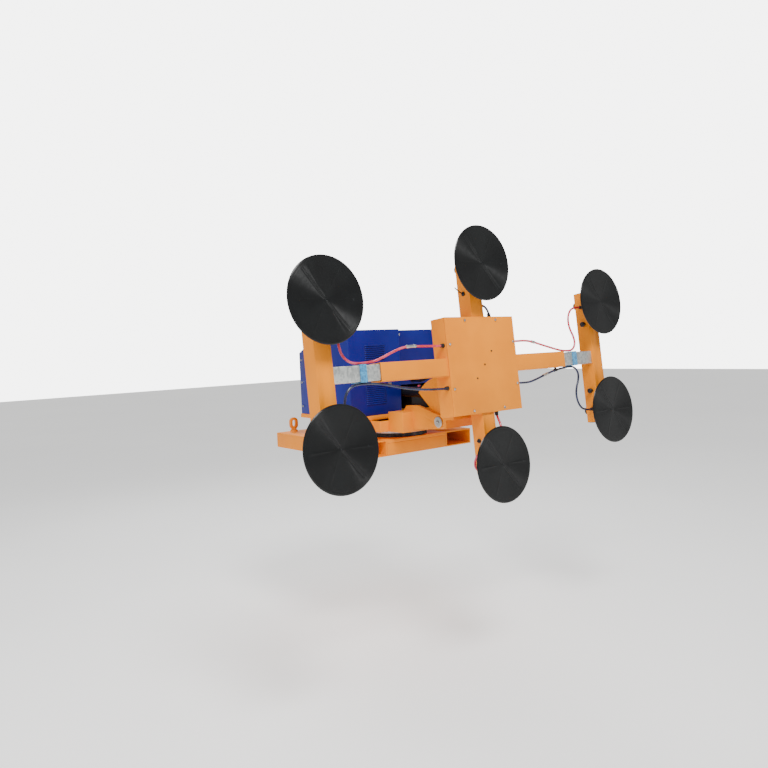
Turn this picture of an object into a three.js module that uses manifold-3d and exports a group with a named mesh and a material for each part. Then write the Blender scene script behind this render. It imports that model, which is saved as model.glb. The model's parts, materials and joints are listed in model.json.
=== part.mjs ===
// Fork-mounted vacuum lifter: six suction cups on a telescopic cross, a rotating head on a tilt
// yoke, and a power pack on a turntable over two fork pockets.
// Millimetres. +Z is up, the cups face -Y and the truck's forks come in from +Y.
import * as THREE from 'three';
import * as BufferGeometryUtils from 'three/addons/utils/BufferGeometryUtils.js';
import Module from 'manifold-3d';

const wasm = await Module();
wasm.setup();

// Driving sizes
const GAP = 0.3; // left between pieces that touch
const POCKET = { inner: 230, outer: 440, half: 47, wall: 8, length: 908 };
const BEAM_DEPTH = 108;
const CLAMP = { x: 335, y: -45, shank: 12, eye: 28, opening: 13, thick: 20, collar: 18, boss: 25 };
const TURNTABLE = { y: -715, outer: 185, inner: 120, bottom: 47, middle: 69.5, top: 92,
  plate: 20, hole: 90 };
const CARRIAGE = { half: 260, front: -889, back: -394, top: 157, wall: 10, floor: 12 };
const CLEVIS = { half: 200, front: -1019, top: 207, wall: 10, lugs: 95, lug: 25 };
const LUG_EDGE = [[-938, 215], [-958, 240], [-1056, 244], [-1150, 220]]; // Y, Z down to the pin
const DECK = { half: 390, front: -800, back: -232, bottom: 157, top: 182 };
const COVER = { wall: 4, front: -784, back: -244, top: 687, slope: -494, low: 564, step: -10 };
const RIGHT_COVER = { front: -744, top: 681, bay: 345 };
const PIVOT = { y: -1236, z: 161, pin: 20, bore: 20.4, boss: 42, head: 30, face: 131, end: 138 };
const BATTERY = { x: [-370, -40], y: [-760, -490], top: 400, post: 9, posts: [-300, -110] };
const PUMP = { x: [-350, -90], y: -370, z: 290, radius: 85, motor: 60, motorEnd: -40 };
const RESERVOIR = { x: [50, 370], y: -370, z: 330, radius: 105, feet: [80, 300], foot: 40 };
const HYDRAULIC = { x: [140, 370], y: [-700, -520], tank: 300, motor: 50, motorTop: 430 };
const BARREL = { front: -944, back: -694, gland: -952, tail: -638, pin: -658 };
const YOKE = { half: 150, low: -320, high: 150, thick: 22, sides: 68, side: 24, reach: 248,
  box: [-275, -180], boxFront: 190 };
const CYLINDER = { x: 30, arm: 145, lead: 87.5, rod: 14, bore: 20, barrel: 32, eye: 24, pin: 12 };
const HEAD = { y: -1544, z: 477, tilt: THREE.MathUtils.degToRad(-6), half: 255 };
const BOX = { front: 73.3, back: 173, wall: 6 };
const TUBE = { half: 45, front: 76, wall: 6 };
const INNER = { half: 38, wall: 5, root: 400 };
const ARM = { root: 45.3, end: 685, beam: 955, beamHalf: 400, column: 575 };
const STRAP = { at: 785, width: 38, thick: 4 };
const CUP = { radius: 200, side: 330, centre: 530 };
const SLEEVE = { outer: 25, inner: 15, front: 64, back: 183 };
const DRIVE = { radius: 140, flange: 118, front: 205, back: 252, bore: 36 };
const HOSE = 6; // radius

const tubeMiddle = TUBE.front + TUBE.half;
const beamMiddle = ARM.beam + TUBE.half;

// Finishes
const finish = (color, roughness, metalness = 0) => ({ color, roughness, metalness });
const ORANGE = finish(0xeba31e, 0.42);
const BLUE = finish(0x1f2f8f, 0.35);
const STEEL = finish(0xc8ccc8, 0.38, 0.9);
const DARK_STEEL = finish(0x3a3c3e, 0.5, 0.8);
const RUBBER = finish(0x1d1f1f, 0.6);
const BLACK = finish(0x181818, 0.5);
const GREY = finish(0x8b8f92, 0.45, 0.5);
const STRAP_BLUE = finish(0x2c7fb5, 0.6);
const RED_HOSE = finish(0xd8667a, 0.3);
const DARK_HOSE = finish(0x202840, 0.35);

const root = new THREE.Group();
const headGroup = new THREE.Group();
headGroup.position.set(0, HEAD.y, HEAD.z);
headGroup.rotation.x = HEAD.tilt;
root.add(headGroup);
headGroup.updateMatrixWorld(true);

// Shape helpers
function toSolid(geometry) {
  const bare = geometry.clone();
  bare.deleteAttribute('normal');
  bare.deleteAttribute('uv');
  const merged = BufferGeometryUtils.mergeVertices(bare, 1e-4);
  return new wasm.Manifold(new wasm.Mesh({
    numProp: 3,
    vertProperties: new Float32Array(merged.attributes.position.array),
    triVerts: new Uint32Array(merged.index.array),
  }));
}

function toGeometry(solid) {
  const mesh = solid.getMesh();
  const geometry = new THREE.BufferGeometry();
  geometry.setAttribute('position', new THREE.BufferAttribute(mesh.vertProperties, 3));
  geometry.setIndex(new THREE.BufferAttribute(mesh.triVerts, 1));
  return geometry;
}

const join = (...solids) => solids.reduce((whole, solid) => whole.add(solid));
const cut = (body, ...tools) => tools.reduce((rest, tool) => rest.subtract(tool), body);

function block(x, y, z) {
  const geometry = new THREE.BoxGeometry(x[1] - x[0], y[1] - y[0], z[1] - z[0]);
  geometry.translate((x[0] + x[1]) / 2, (y[0] + y[1]) / 2, (z[0] + z[1]) / 2);
  return toSolid(geometry);
}

// A round bar along one axis; centre holds the other two coordinates in X, Y, Z order.
function bar(axis, from, to, radius, centre = [0, 0], sides = 16) {
  const geometry = new THREE.CylinderGeometry(radius, radius, to - from, sides);
  const middle = (from + to) / 2;
  if (axis === 'x') geometry.rotateZ(Math.PI / 2).translate(middle, centre[0], centre[1]);
  if (axis === 'y') geometry.translate(centre[0], middle, centre[1]);
  if (axis === 'z') geometry.rotateX(Math.PI / 2).translate(centre[0], centre[1], middle);
  return toSolid(geometry);
}

// A turned piece: profile points are [radius, place along the axis].
function turned(axis, profile, centre = [0, 0], sides = 24) {
  const points = profile.map(([radius, along]) => new THREE.Vector2(radius, along));
  const geometry = new THREE.LatheGeometry(points, sides);
  if (axis === 'y') geometry.translate(centre[0], 0, centre[1]);
  if (axis === 'z') geometry.rotateX(Math.PI / 2).translate(centre[0], centre[1], 0);
  return geometry;
}

// A plate whose outline is a Shape in Y and Z, from one X to another.
function sidePlate(shape, from, to) {
  const geometry = new THREE.ExtrudeGeometry(shape, {
    depth: to - from, bevelEnabled: false, curveSegments: 8,
  });
  const basis = new THREE.Matrix4().makeBasis(
    new THREE.Vector3(0, 1, 0), new THREE.Vector3(0, 0, 1), new THREE.Vector3(1, 0, 0));
  geometry.applyMatrix4(basis).translate(from, 0, 0);
  return toSolid(geometry);
}

// A square hollow tube along one axis, open at both ends.
function squareTube(axis, from, to, half, wall, middle = [0, 0]) {
  const spans = (grow, reach) => {
    const across = middle.map((value) => [value - half + grow, value + half - grow]);
    const along = [from - reach, to + reach];
    return axis === 'x' ? [along, ...across] : [across[0], across[1], along];
  };
  return cut(block(...spans(0, 0)), block(...spans(wall, 1)));
}

function addPiece(name, shape, look, group = root) {
  const geometry = shape.isBufferGeometry ? shape : toGeometry(shape);
  const mesh = new THREE.Mesh(geometry, new THREE.MeshStandardMaterial(look));
  mesh.name = name;
  group.add(mesh);
}

// Fork frame
function forkPocket(side) {
  const x = side < 0 ? [-POCKET.outer, -POCKET.inner] : [POCKET.inner, POCKET.outer];
  const { half, wall, length } = POCKET;
  const outside = block(x, [-length, 0], [-half, half]);
  const inside = block([x[0] + wall, x[1] - wall], [-length - 1, 1], [-half + wall, half - wall]);
  const boss = bar('z', half - 1, half + 12, CLAMP.boss, [side * CLAMP.x, CLAMP.y]);
  const hole = bar('z', 0, half + 20, CLAMP.shank + GAP, [side * CLAMP.x, CLAMP.y]);
  return cut(join(outside, boss), inside, hole);
}

function clampScrew(side) {
  const centre = [side * CLAMP.x, CLAMP.y];
  const shank = bar('z', POCKET.half - POCKET.wall + GAP, POCKET.half + 32, CLAMP.shank, centre);
  const collar = bar('z', POCKET.half + 13, POCKET.half + 23, CLAMP.collar, centre, 6);
  const low = POCKET.half + 44;
  const high = low + 22;
  const eye = new THREE.Shape();
  eye.absarc(0, low, CLAMP.eye, Math.PI, 0, false);
  eye.absarc(0, high, CLAMP.eye, 0, Math.PI, false);
  const opening = new THREE.Path();
  opening.absarc(0, low + 3, CLAMP.opening, Math.PI, 0, false);
  opening.absarc(0, high, CLAMP.opening, 0, Math.PI, false);
  eye.holes.push(opening);
  const ring = new THREE.ExtrudeGeometry(eye, {
    depth: CLAMP.thick, bevelEnabled: false, curveSegments: 8,
  });
  ring.rotateX(Math.PI / 2).translate(centre[0], centre[1] + CLAMP.thick / 2, 0);
  return join(shank, collar, toSolid(ring));
}

function frontCrossBeam() {
  const x = [-POCKET.inner + GAP, POCKET.inner - GAP];
  const { half, wall, length } = POCKET;
  const top = half - TURNTABLE.plate;
  const tube = block(x, [-length, BEAM_DEPTH - length], [-half, top - GAP]);
  const inside = [[x[0] - 1, x[1] + 1], [wall - length, BEAM_DEPTH - wall - length],
    [wall - half, top - wall]];
  return cut(tube, block(...inside));
}

function rearCrossBeam() {
  const x = [-POCKET.inner + GAP, POCKET.inner - GAP];
  const { half, wall } = POCKET;
  const tube = block(x, [-BEAM_DEPTH, 0], [-half, half]);
  const inside = [[x[0] - 1, x[1] + 1], [wall - BEAM_DEPTH, -wall], [wall - half, half - wall]];
  return cut(tube, block(...inside));
}

function turntableBase() {
  const x = [-POCKET.inner + GAP, POCKET.inner - GAP];
  const plate = block(x, [-POCKET.length, -BEAM_DEPTH - GAP], [POCKET.half - TURNTABLE.plate, POCKET.half]);
  return cut(plate, bar('z', 0, POCKET.half + 1, TURNTABLE.hole, [0, TURNTABLE.y]));
}

function ring(outer, inner, from, to) {
  const profile = [[inner, from], [outer, from], [outer, to], [inner, to], [inner, from]];
  return turned('z', profile, [0, TURNTABLE.y], 36);
}

function addForkFrame() {
  addPiece('fork_pocket_left', forkPocket(-1), ORANGE);
  addPiece('fork_pocket_right', forkPocket(1), ORANGE);
  addPiece('front_cross_beam', frontCrossBeam(), ORANGE);
  addPiece('rear_cross_beam', rearCrossBeam(), ORANGE);
  addPiece('turntable_base', turntableBase(), ORANGE);
  addPiece('clamp_screw_left', clampScrew(-1), ORANGE);
  addPiece('clamp_screw_right', clampScrew(1), ORANGE);
  const { outer, inner, bottom, middle, top } = TURNTABLE;
  addPiece('slew_ring_lower', ring(outer, inner, bottom + GAP, middle - GAP), DARK_STEEL);
  addPiece('slew_ring_upper', ring(outer - 6, inner, middle, top - GAP), STEEL);
}

// Carriage on the turntable
function carriageBox() {
  const { half, front, back, top, wall, floor } = CARRIAGE;
  const outside = block([-half, half], [front, back], [TURNTABLE.top, top - GAP]);
  const inside = block([wall - half, half - wall], [front + wall, back - wall],
    [TURNTABLE.top + floor, top]);
  return cut(outside, inside);
}

function deckPlate() {
  const { half, front, back, bottom, top } = DECK;
  return block([-half, half], [front, back], [bottom, top]);
}

function lugOutline() {
  const shape = new THREE.Shape();
  const { y, z, boss } = PIVOT;
  const root = CARRIAGE.front - GAP;
  const degrees = THREE.MathUtils.degToRad;
  shape.moveTo(root, 97);
  shape.lineTo(root, 180);
  for (const point of LUG_EDGE) shape.lineTo(...point);
  shape.absarc(y, z, boss - 2, degrees(75), degrees(270), false);
  shape.closePath();
  return shape;
}

// The clevis's cross box is closed at both ends and open underneath.
function tiltClevis() {
  const { half, front, top, wall, lugs, lug } = CLEVIS;
  const back = CARRIAGE.front;
  const low = TURNTABLE.top;
  const tube = block([-half, half], [front, back - GAP], [low, top]);
  const inside = block([wall - half, half - wall], [front + wall, back - wall], [low - 1, top - wall]);
  const plates = [-lugs - lug, lugs].map((from) => sidePlate(lugOutline(), from, from + lug));
  const bore = bar('x', -PIVOT.face, PIVOT.face, PIVOT.pin + GAP, [PIVOT.y, PIVOT.z]);
  return cut(join(tube, ...plates), inside, bore);
}

function pivotPin() {
  const { y, z, pin, head, face, end } = PIVOT;
  const from = CLEVIS.lugs + CLEVIS.lug + GAP;
  const heads = [[-face, -from], [from, face]].map(([a, b]) => bar('x', a, b, head, [y, z]));
  return join(bar('x', -end, end, pin, [y, z]), ...heads);
}

// The side outline that both covers share: upright front, flat top, sloped back.
function coverOutline(front, back, top, bottom, inset) {
  const shape = new THREE.Shape();
  shape.moveTo(front + inset, bottom);
  shape.lineTo(front + inset, top - inset);
  shape.lineTo(COVER.slope, top - inset);
  shape.lineTo(back - inset, COVER.low - inset);
  shape.lineTo(back - inset, bottom);
  shape.closePath();
  return shape;
}

function cover(from, to, front, top) {
  const { wall, back } = COVER;
  const bottom = DECK.top + GAP;
  const outside = sidePlate(coverOutline(front, back, top, bottom, 0), from, to);
  const inside = coverOutline(front, back, top, bottom - 10, wall);
  return cut(outside, sidePlate(inside, from + wall, to - wall));
}

function rightCover() {
  const { wall } = COVER;
  const from = COVER.step + GAP;
  const shell = cover(from, DECK.half, RIGHT_COVER.front, RIGHT_COVER.top);
  const bay = [[from + wall, DECK.half - wall], [RIGHT_COVER.front - 5, RIGHT_COVER.front + 10]];
  return cut(shell, block(...bay, [DECK.top - 5, RIGHT_COVER.bay]));
}

function batteryPack() {
  const { x, y, top, post, posts } = BATTERY;
  const middle = (y[0] + y[1]) / 2;
  return join(block(x, y, [DECK.top + GAP, top]),
    ...posts.map((place) => bar('z', top - 1, top + 18, post, [place, middle], 12)));
}

function vacuumPump() {
  const { x, y, z, radius, motor, motorEnd } = PUMP;
  const foot = block([x[0] + 10, x[1] + 10], [y - 60, y + 60], [DECK.top + GAP, 215]);
  return join(foot, bar('x', ...x, radius, [y, z]), bar('x', x[1] - 1, motorEnd, motor, [y, z]));
}

function vacuumReservoir() {
  const { x, y, z, radius, feet, foot } = RESERVOIR;
  const blocks = feet.map((place) => (
    block([place, place + foot], [y - 50, y + 50], [DECK.top + GAP, 240])));
  return join(bar('x', ...x, radius, [y, z]), ...blocks);
}

function hydraulicUnit() {
  const { x, y, tank, motor, motorTop } = HYDRAULIC;
  const middle = [(x[0] + x[1]) / 2, (y[0] + y[1]) / 2];
  return join(block(x, y, [DECK.top + GAP, tank]), bar('z', tank - 1, motorTop, motor, middle));
}

// Tilt cylinder: its rod eye keeps 12 mm of room round the yoke's pin.
const cylinderZ = PIVOT.z + CYLINDER.arm;
const eyeY = PIVOT.y + CYLINDER.arm * Math.cos(THREE.MathUtils.degToRad(CYLINDER.lead));

function cylinderBarrel() {
  const { x, barrel, bore, rod } = CYLINDER;
  const { front, back, gland, tail, pin } = BARREL;
  const body = join(
    bar('y', front, back, barrel, [x, cylinderZ]),
    bar('y', gland, gland + 28, barrel + 5, [x, cylinderZ]),
    block([x - 12, x + 12], [back - 2, tail], [cylinderZ - 20, cylinderZ + 20]));
  return cut(body,
    bar('y', front + 14, back - 10, bore, [x, cylinderZ]),
    bar('y', gland - 8, front + 44, rod + GAP, [x, cylinderZ]),
    bar('x', x - 20, x + 20, 10 + GAP, [pin, cylinderZ]));
}

function cylinderBracket() {
  const { x } = CYLINDER;
  const low = DECK.top + GAP;
  const foot = block([x - 34, x + 34], [-690, -610], [low, low + 12]);
  const ears = [[x - 24, x - 12 - GAP], [x + 12 + GAP, x + 24]].map(
    (span) => block(span, [-684, -632], [low + 11, cylinderZ + 22]));
  return join(foot, ...ears, bar('x', x - 28, x + 28, 10, [BARREL.pin, cylinderZ]));
}

function cylinderRod() {
  const { x, rod, eye } = CYLINDER;
  const shaft = bar('y', eyeY + eye + 6, -764, rod, [x, cylinderZ]);
  const ringBar = bar('x', x - 18, x + 18, eye + 14, [eyeY, cylinderZ]);
  return cut(join(shaft, ringBar), bar('x', x - 20, x + 20, eye, [eyeY, cylinderZ]));
}

function addCarriage() {
  addPiece('carriage_box', carriageBox(), ORANGE);
  addPiece('deck_plate', deckPlate(), ORANGE);
  addPiece('tilt_clevis', tiltClevis(), ORANGE);
  addPiece('tilt_pivot_pin', pivotPin(), STEEL);
  addPiece('left_cover', cover(-DECK.half, COVER.step, COVER.front, COVER.top), BLUE);
  addPiece('right_cover', rightCover(), BLUE);
  addPiece('battery_pack', batteryPack(), BLACK);
  addPiece('vacuum_pump', vacuumPump(), GREY);
  addPiece('vacuum_reservoir', vacuumReservoir(), GREY);
  addPiece('hydraulic_unit', hydraulicUnit(), BLACK);
  addPiece('tilt_cylinder_barrel', cylinderBarrel(), BLACK);
  addPiece('tilt_cylinder_bracket', cylinderBracket(), ORANGE);
  addPiece('tilt_cylinder_rod', cylinderRod(), STEEL);
}

// Tilt yoke, in the head's own frame: the cups' lips lie in its plane y = 0.
function inHead(x, y, z) {
  return headGroup.worldToLocal(new THREE.Vector3(x, y, z));
}

function sectorOutline() {
  const pivot = inHead(0, PIVOT.y, PIVOT.z);
  const shape = new THREE.Shape();
  const degrees = THREE.MathUtils.degToRad;
  shape.moveTo(DRIVE.back + 10, YOKE.low);
  shape.lineTo(DRIVE.back + 10, -20);
  shape.absarc(pivot.y, pivot.z, YOKE.reach, degrees(84), degrees(44), true);
  shape.absarc(pivot.y, pivot.z, PIVOT.boss, degrees(30), degrees(-110), true);
  shape.closePath();
  return shape;
}

function tiltYoke() {
  const { back, bore } = DRIVE;
  const pivot = inHead(0, PIVOT.y, PIVOT.z);
  const eye = inHead(0, eyeY, cylinderZ);
  const { half, low, high, thick, sides, side, box, boxFront } = YOKE;
  const plate = block([-half, half], [back + GAP, back + thick], [low, high]);
  const crossBox = block([-half, half], [boxFront, back + 1], box);
  const plates = [-sides - side, sides].map((from) => sidePlate(sectorOutline(), from, from + side));
  const pin = bar('x', -80, 80, CYLINDER.pin, [eye.y, eye.z]);
  return cut(join(plate, crossBox, ...plates, pin),
    bar('x', -100, 100, PIVOT.bore, [pivot.y, pivot.z]),
    bar('y', back - 5, back + 30, bore));
}

function rotaryDrive() {
  const { radius, front, back, bore } = DRIVE;
  const profile = [[bore, front], [radius - 12, front], [radius, front + 12], [radius, back],
    [bore, back], [bore, front]];
  const neck = block([120, 190], [front + 6, back - 4], [-30, 30]);
  return join(toSolid(turned('y', profile)), neck);
}

function rotateMotor() {
  const { front, back } = DRIVE;
  const middle = [(front + back) / 2, 0];
  return join(bar('x', 190 + GAP, 204, 34, middle), bar('x', 203, 300, 28, middle));
}

function vacuumSwivel() {
  const profile = [[0, BOX.back + 4], [30, BOX.back + 4], [30, 262], [26, 262], [26, 282], [16, 290],
    [16, 300], [0, 300]];
  return turned('y', profile, [0, 0], 16);
}

// Rotating head
function headBox() {
  const { half } = HEAD;
  const { front, back, wall } = BOX;
  const span = [-half, half];
  const hollow = [wall - half, half - wall];
  const shell = cut(block(span, [front, back], span), block(hollow, [front - 1, back - wall], hollow));
  const room = TUBE.half + GAP;
  const depth = [front - 1, TUBE.front + 2 * TUBE.half + GAP];
  return cut(shell,
    block([-half - 1, half + 1], depth, [-room, room]),
    block([-room, room], depth, [-half - 1, half + 1]));
}

function coverPlate() {
  const { half } = HEAD;
  return block([-half, half], [BOX.front - GAP - 8, BOX.front - GAP], [-half, half]);
}

function rotaryFlange() {
  const { flange, front } = DRIVE;
  const from = BOX.back + GAP;
  const to = front - 0.6;
  return turned('y', [[36, from], [flange, from], [flange, to], [36, to], [36, from]]);
}

// Cups ride in sleeves welded through a beam at the two given heights.
function sleevedBeam(beam, x, heights) {
  const { outer, inner, front, back } = SLEEVE;
  const sleeves = heights.map((z) => bar('y', front, back, outer, [x, z]));
  const bores = heights.map((z) => bar('y', front - 1, back + 1, inner, [x, z]));
  return cut(join(beam, ...sleeves), ...bores);
}

function centreColumn() {
  const { half, wall } = TUBE;
  const beam = squareTube('z', -ARM.column, ARM.column, half, wall, [0, tubeMiddle]);
  return sleevedBeam(beam, 0, [-CUP.centre, CUP.centre]);
}

function endBeam(side) {
  const { half, wall } = TUBE;
  const x = side * beamMiddle;
  const beam = squareTube('z', -ARM.beamHalf, ARM.beamHalf, half, wall, [x, tubeMiddle]);
  return sleevedBeam(beam, x, [-CUP.side, CUP.side]);
}

function alongArm(side, from, to, half, wall) {
  const ends = side < 0 ? [-to, -from] : [from, to];
  return squareTube('x', ends[0], ends[1], half, wall, [tubeMiddle, 0]);
}

function hoseStrap(side) {
  const { at, width, thick } = STRAP;
  const half = INNER.half + GAP + thick;
  return alongArm(side, at - width / 2, at + width / 2, half, thick);
}

function cupPad(x, z) {
  const profile = [[0, 3.5], [170, 3.5], [184, 2.5], [CUP.radius - 3, 0], [CUP.radius, 4], [188, 13],
    [118, 30], [0, 30]];
  return turned('y', profile, [x, z], 30);
}

// The hub stops 16 mm short of the sleeve, which is more than the cup's 15 mm of travel.
function cupHolder(x, z) {
  const profile = [[0, 30 + GAP], [110, 30 + GAP], [110, 38], [34, 41], [28, 48], [14.3, 48],
    [14.3, 185], [22, 185], [22, 198], [0, 198]];
  return turned('y', profile, [x, z], 16);
}

function hose(points, radius, sides = 8) {
  const curve = new THREE.CatmullRomCurve3(points.map((p) => new THREE.Vector3(...p)));
  const section = new THREE.Shape();
  for (let i = 0; i < sides; i += 1) {
    const angle = (2 * Math.PI * i) / sides;
    const spot = [radius * Math.cos(angle), radius * Math.sin(angle)];
    if (i === 0) section.moveTo(...spot);
    else section.lineTo(...spot);
  }
  const steps = Math.min(80, Math.round(curve.getLength() / (5 * radius)));
  return new THREE.ExtrudeGeometry(section, { steps, extrudePath: curve, bevelEnabled: false });
}

// Hose routes in the head's frame
const ROUTES = {
  left_upper_hose: [
    [-256.4, 93, 112], [-300, 93, 112], [-380, 95, 114], [-470, 96, 116], [-530, 97, 110],
    [-590, 98, 92], [-650, 99, 70], [-705, 100, 54], [-765, 101, 49], [-800, 101, 49],
    [-835, 101, 54], [-864, 102, 71], [-884, 103, 99], [-892, 105, 138], [-893, 108, 185],
    [-893, 113, 228], [-893, 117, 258], [-897.5, 119, 280], [-909.5, 120, 298.5],
    [-928, 120, 310.5], [-950, 120, 315], [-953.8, 120, 315]],
  left_lower_hose: [
    [-256.4, 93, -107], [-300, 93, -107], [-380, 94, -104], [-450, 96, -98], [-540, 98, -84],
    [-640, 100, -62], [-705, 101, -52], [-765, 101, -49], [-800, 101, -49], [-835, 101, -54],
    [-864, 102, -71], [-884, 103, -99], [-892, 105, -138], [-893, 108, -185], [-893, 113, -228],
    [-893, 117, -258], [-897.5, 119, -280], [-909.5, 120, -298.5], [-928, 120, -310.5],
    [-950, 120, -315], [-953.8, 120, -315]],
  right_upper_hose: [
    [256.4, 93, 118], [310, 93, 119], [370, 94, 119], [430, 95, 112], [500, 96, 95],
    [580, 98, 76], [660, 100, 58], [715, 101, 50], [765, 101, 49], [790, 101, 53], [812, 102, 66],
    [826, 102, 88], [828, 103, 114], [818, 103, 142], [803, 104, 172], [793, 104, 205],
    [797, 107, 240], [815, 111, 273], [846, 116, 298], [885, 119, 310], [920, 120, 312],
    [953.8, 120, 312]],
  right_lower_hose: [
    [256.4, 93, -113], [310, 93, -116], [370, 94, -115], [430, 95, -104], [519, 97, -82],
    [616, 99, -61], [705, 100, -50], [765, 101, -49], [790, 101, -53], [812, 102, -66],
    [826, 102, -88], [828, 103, -114], [818, 103, -142], [803, 104, -172], [793, 104, -205],
    [797, 107, -240], [815, 111, -275], [846, 116, -302], [885, 119, -315], [920, 120, -318],
    [953.8, 120, -318]],
  top_hose: [
    [108, 100, 256.4], [108, 100, 261], [108, 100, 266], [107, 100, 275.7], [104.6, 100, 285.2],
    [100.5, 100, 294], [95, 100, 302], [88, 100, 309], [80, 100, 314.6], [71, 100, 318.7],
    [61.7, 100, 321.2], [52, 100, 322], [50.3, 100, 322], [48.6, 100, 322], [47, 100, 322]],
  bottom_hose: [
    [85, 100, -256.4], [85, 98, -275], [85, 92, -295], [85, 84, -315], [81, 75, -336],
    [70.5, 67, -354.5], [54, 62, -368.5], [27, 62, -384], [0, 62, -399.5], [-27, 62, -415],
    [-54, 62, -431], [-78, 66, -444.5], [-96, 71, -455], [-112.5, 79, -470], [-121, 88, -491],
    [-120, 97, -513.5], [-110, 104, -533.5], [-92, 109, -547], [-70, 112, -552], [-47, 112, -552]],
};

// The main vacuum hose goes from the cover to the swivel on the yoke, in the part's own frame.
const mainHoseRadius = 12;
const MAIN_ROUTE = [
  [110, -745.2, 372], [110, -770, 372], [104, -800, 372], [90, -832, 372.5], [72, -864, 373.5],
  [52, -896, 375.5], [32, -928, 379], [15, -960, 384], [3, -992, 390.5], [-4, -1024, 398.5],
  [-7, -1056, 407.5], [-7, -1088, 416.5], [-5, -1120, 425], [-3, -1152, 432.5],
  [-1, -1184, 438.5], [0, -1216, 442.6], [0, -1245, 445.6]];

function addTiltPieces() {
  addPiece('tilt_yoke', tiltYoke(), ORANGE, headGroup);
  addPiece('rotary_drive', rotaryDrive(), DARK_STEEL, headGroup);
  addPiece('rotate_motor', rotateMotor(), BLACK, headGroup);
  addPiece('vacuum_swivel', vacuumSwivel(), STEEL, headGroup);
  addPiece('main_vacuum_hose', hose(MAIN_ROUTE, mainHoseRadius, 10), BLACK);
}

function addHead() {
  const { half, wall } = TUBE;
  addPiece('rotary_flange', rotaryFlange(), STEEL, headGroup);
  addPiece('head_box', headBox(), ORANGE, headGroup);
  addPiece('cover_plate', coverPlate(), ORANGE, headGroup);
  addPiece('centre_column', centreColumn(), ORANGE, headGroup);
  for (const [word, side] of [['left', -1], ['right', 1]]) {
    addPiece(`${word}_outer_arm`, alongArm(side, ARM.root, ARM.end, half, wall), ORANGE, headGroup);
    const inner = alongArm(side, INNER.root, ARM.beam - GAP, INNER.half, INNER.wall);
    addPiece(`${word}_inner_arm`, inner, STEEL, headGroup);
    addPiece(`${word}_end_beam`, endBeam(side), ORANGE, headGroup);
    addPiece(`${word}_hose_strap`, hoseStrap(side), STRAP_BLUE, headGroup);
  }
}

function addCups() {
  const places = {
    left_top: [-beamMiddle, CUP.side], left_bottom: [-beamMiddle, -CUP.side],
    centre_top: [0, CUP.centre], centre_bottom: [0, -CUP.centre],
    right_top: [beamMiddle, CUP.side], right_bottom: [beamMiddle, -CUP.side],
  };
  for (const [word, [x, z]] of Object.entries(places)) {
    addPiece(`${word}_cup_pad`, cupPad(x, z), RUBBER, headGroup);
    addPiece(`${word}_cup_holder`, cupHolder(x, z), BLACK, headGroup);
  }
}

function addHoses() {
  for (const [name, points] of Object.entries(ROUTES)) {
    const look = name.includes('upper') || name.startsWith('bottom') ? RED_HOSE : DARK_HOSE;
    addPiece(name, hose(points, HOSE), look, headGroup);
  }
}

addForkFrame();
addCarriage();
addTiltPieces();
addHead();
addCups();
addHoses();

export default root;
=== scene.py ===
import json
import math

import bmesh
import bpy
import numpy as np
from mathutils import Matrix, Vector

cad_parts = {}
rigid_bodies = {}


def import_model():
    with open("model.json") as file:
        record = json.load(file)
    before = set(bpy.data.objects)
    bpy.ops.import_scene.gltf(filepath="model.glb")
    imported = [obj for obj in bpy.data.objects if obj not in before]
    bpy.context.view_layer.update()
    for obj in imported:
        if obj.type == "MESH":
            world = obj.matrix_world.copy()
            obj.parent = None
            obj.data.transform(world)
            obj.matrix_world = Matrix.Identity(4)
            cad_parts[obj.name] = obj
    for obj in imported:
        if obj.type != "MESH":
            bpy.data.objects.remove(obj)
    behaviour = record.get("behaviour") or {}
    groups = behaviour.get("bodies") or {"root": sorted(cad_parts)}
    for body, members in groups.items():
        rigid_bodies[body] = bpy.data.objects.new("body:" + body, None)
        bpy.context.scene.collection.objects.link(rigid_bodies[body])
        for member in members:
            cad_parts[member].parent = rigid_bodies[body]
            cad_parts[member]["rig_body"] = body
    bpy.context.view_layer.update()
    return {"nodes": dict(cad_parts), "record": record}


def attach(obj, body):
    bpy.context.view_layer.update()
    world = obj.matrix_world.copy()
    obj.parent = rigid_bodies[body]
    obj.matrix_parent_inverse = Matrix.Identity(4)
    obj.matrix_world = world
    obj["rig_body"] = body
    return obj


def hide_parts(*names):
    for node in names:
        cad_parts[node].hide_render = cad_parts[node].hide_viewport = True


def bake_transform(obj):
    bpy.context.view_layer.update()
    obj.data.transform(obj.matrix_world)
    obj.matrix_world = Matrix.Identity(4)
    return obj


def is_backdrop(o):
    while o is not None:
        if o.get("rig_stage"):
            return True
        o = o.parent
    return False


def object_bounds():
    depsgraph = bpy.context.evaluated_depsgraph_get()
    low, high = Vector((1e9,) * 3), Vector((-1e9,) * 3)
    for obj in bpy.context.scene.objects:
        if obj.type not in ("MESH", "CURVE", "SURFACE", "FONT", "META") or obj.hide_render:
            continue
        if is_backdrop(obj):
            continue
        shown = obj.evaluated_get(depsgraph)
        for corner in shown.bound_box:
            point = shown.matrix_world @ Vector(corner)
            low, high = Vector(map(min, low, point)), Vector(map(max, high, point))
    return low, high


bl_info = {
    "name": "Fork-mounted vacuum lifter",
    "version": (1, 0, 0),
    "blender": (4, 5, 0),
    "location": "View3D > Sidebar > Lifter",
    "description": "Builds the looks of a vacuum lifter with suction cups round its packed frame",
    "category": "Object",
}

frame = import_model()

MM = 0.001
# The head's own frame: the cups' lips lie in its plane y = 0, and it leans back.
HEAD = np.array([0.0, -1.544, 0.477])
LEAN = math.radians(6)
HEAD_AXES = np.array([
    [1, 0, 0],
    [0, math.cos(LEAN), -math.sin(LEAN)],
    [0, math.sin(LEAN), math.cos(LEAN)],
])
INWARD = HEAD_AXES[1]  # from the cups' lips into the head
FACING = -INWARD

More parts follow.
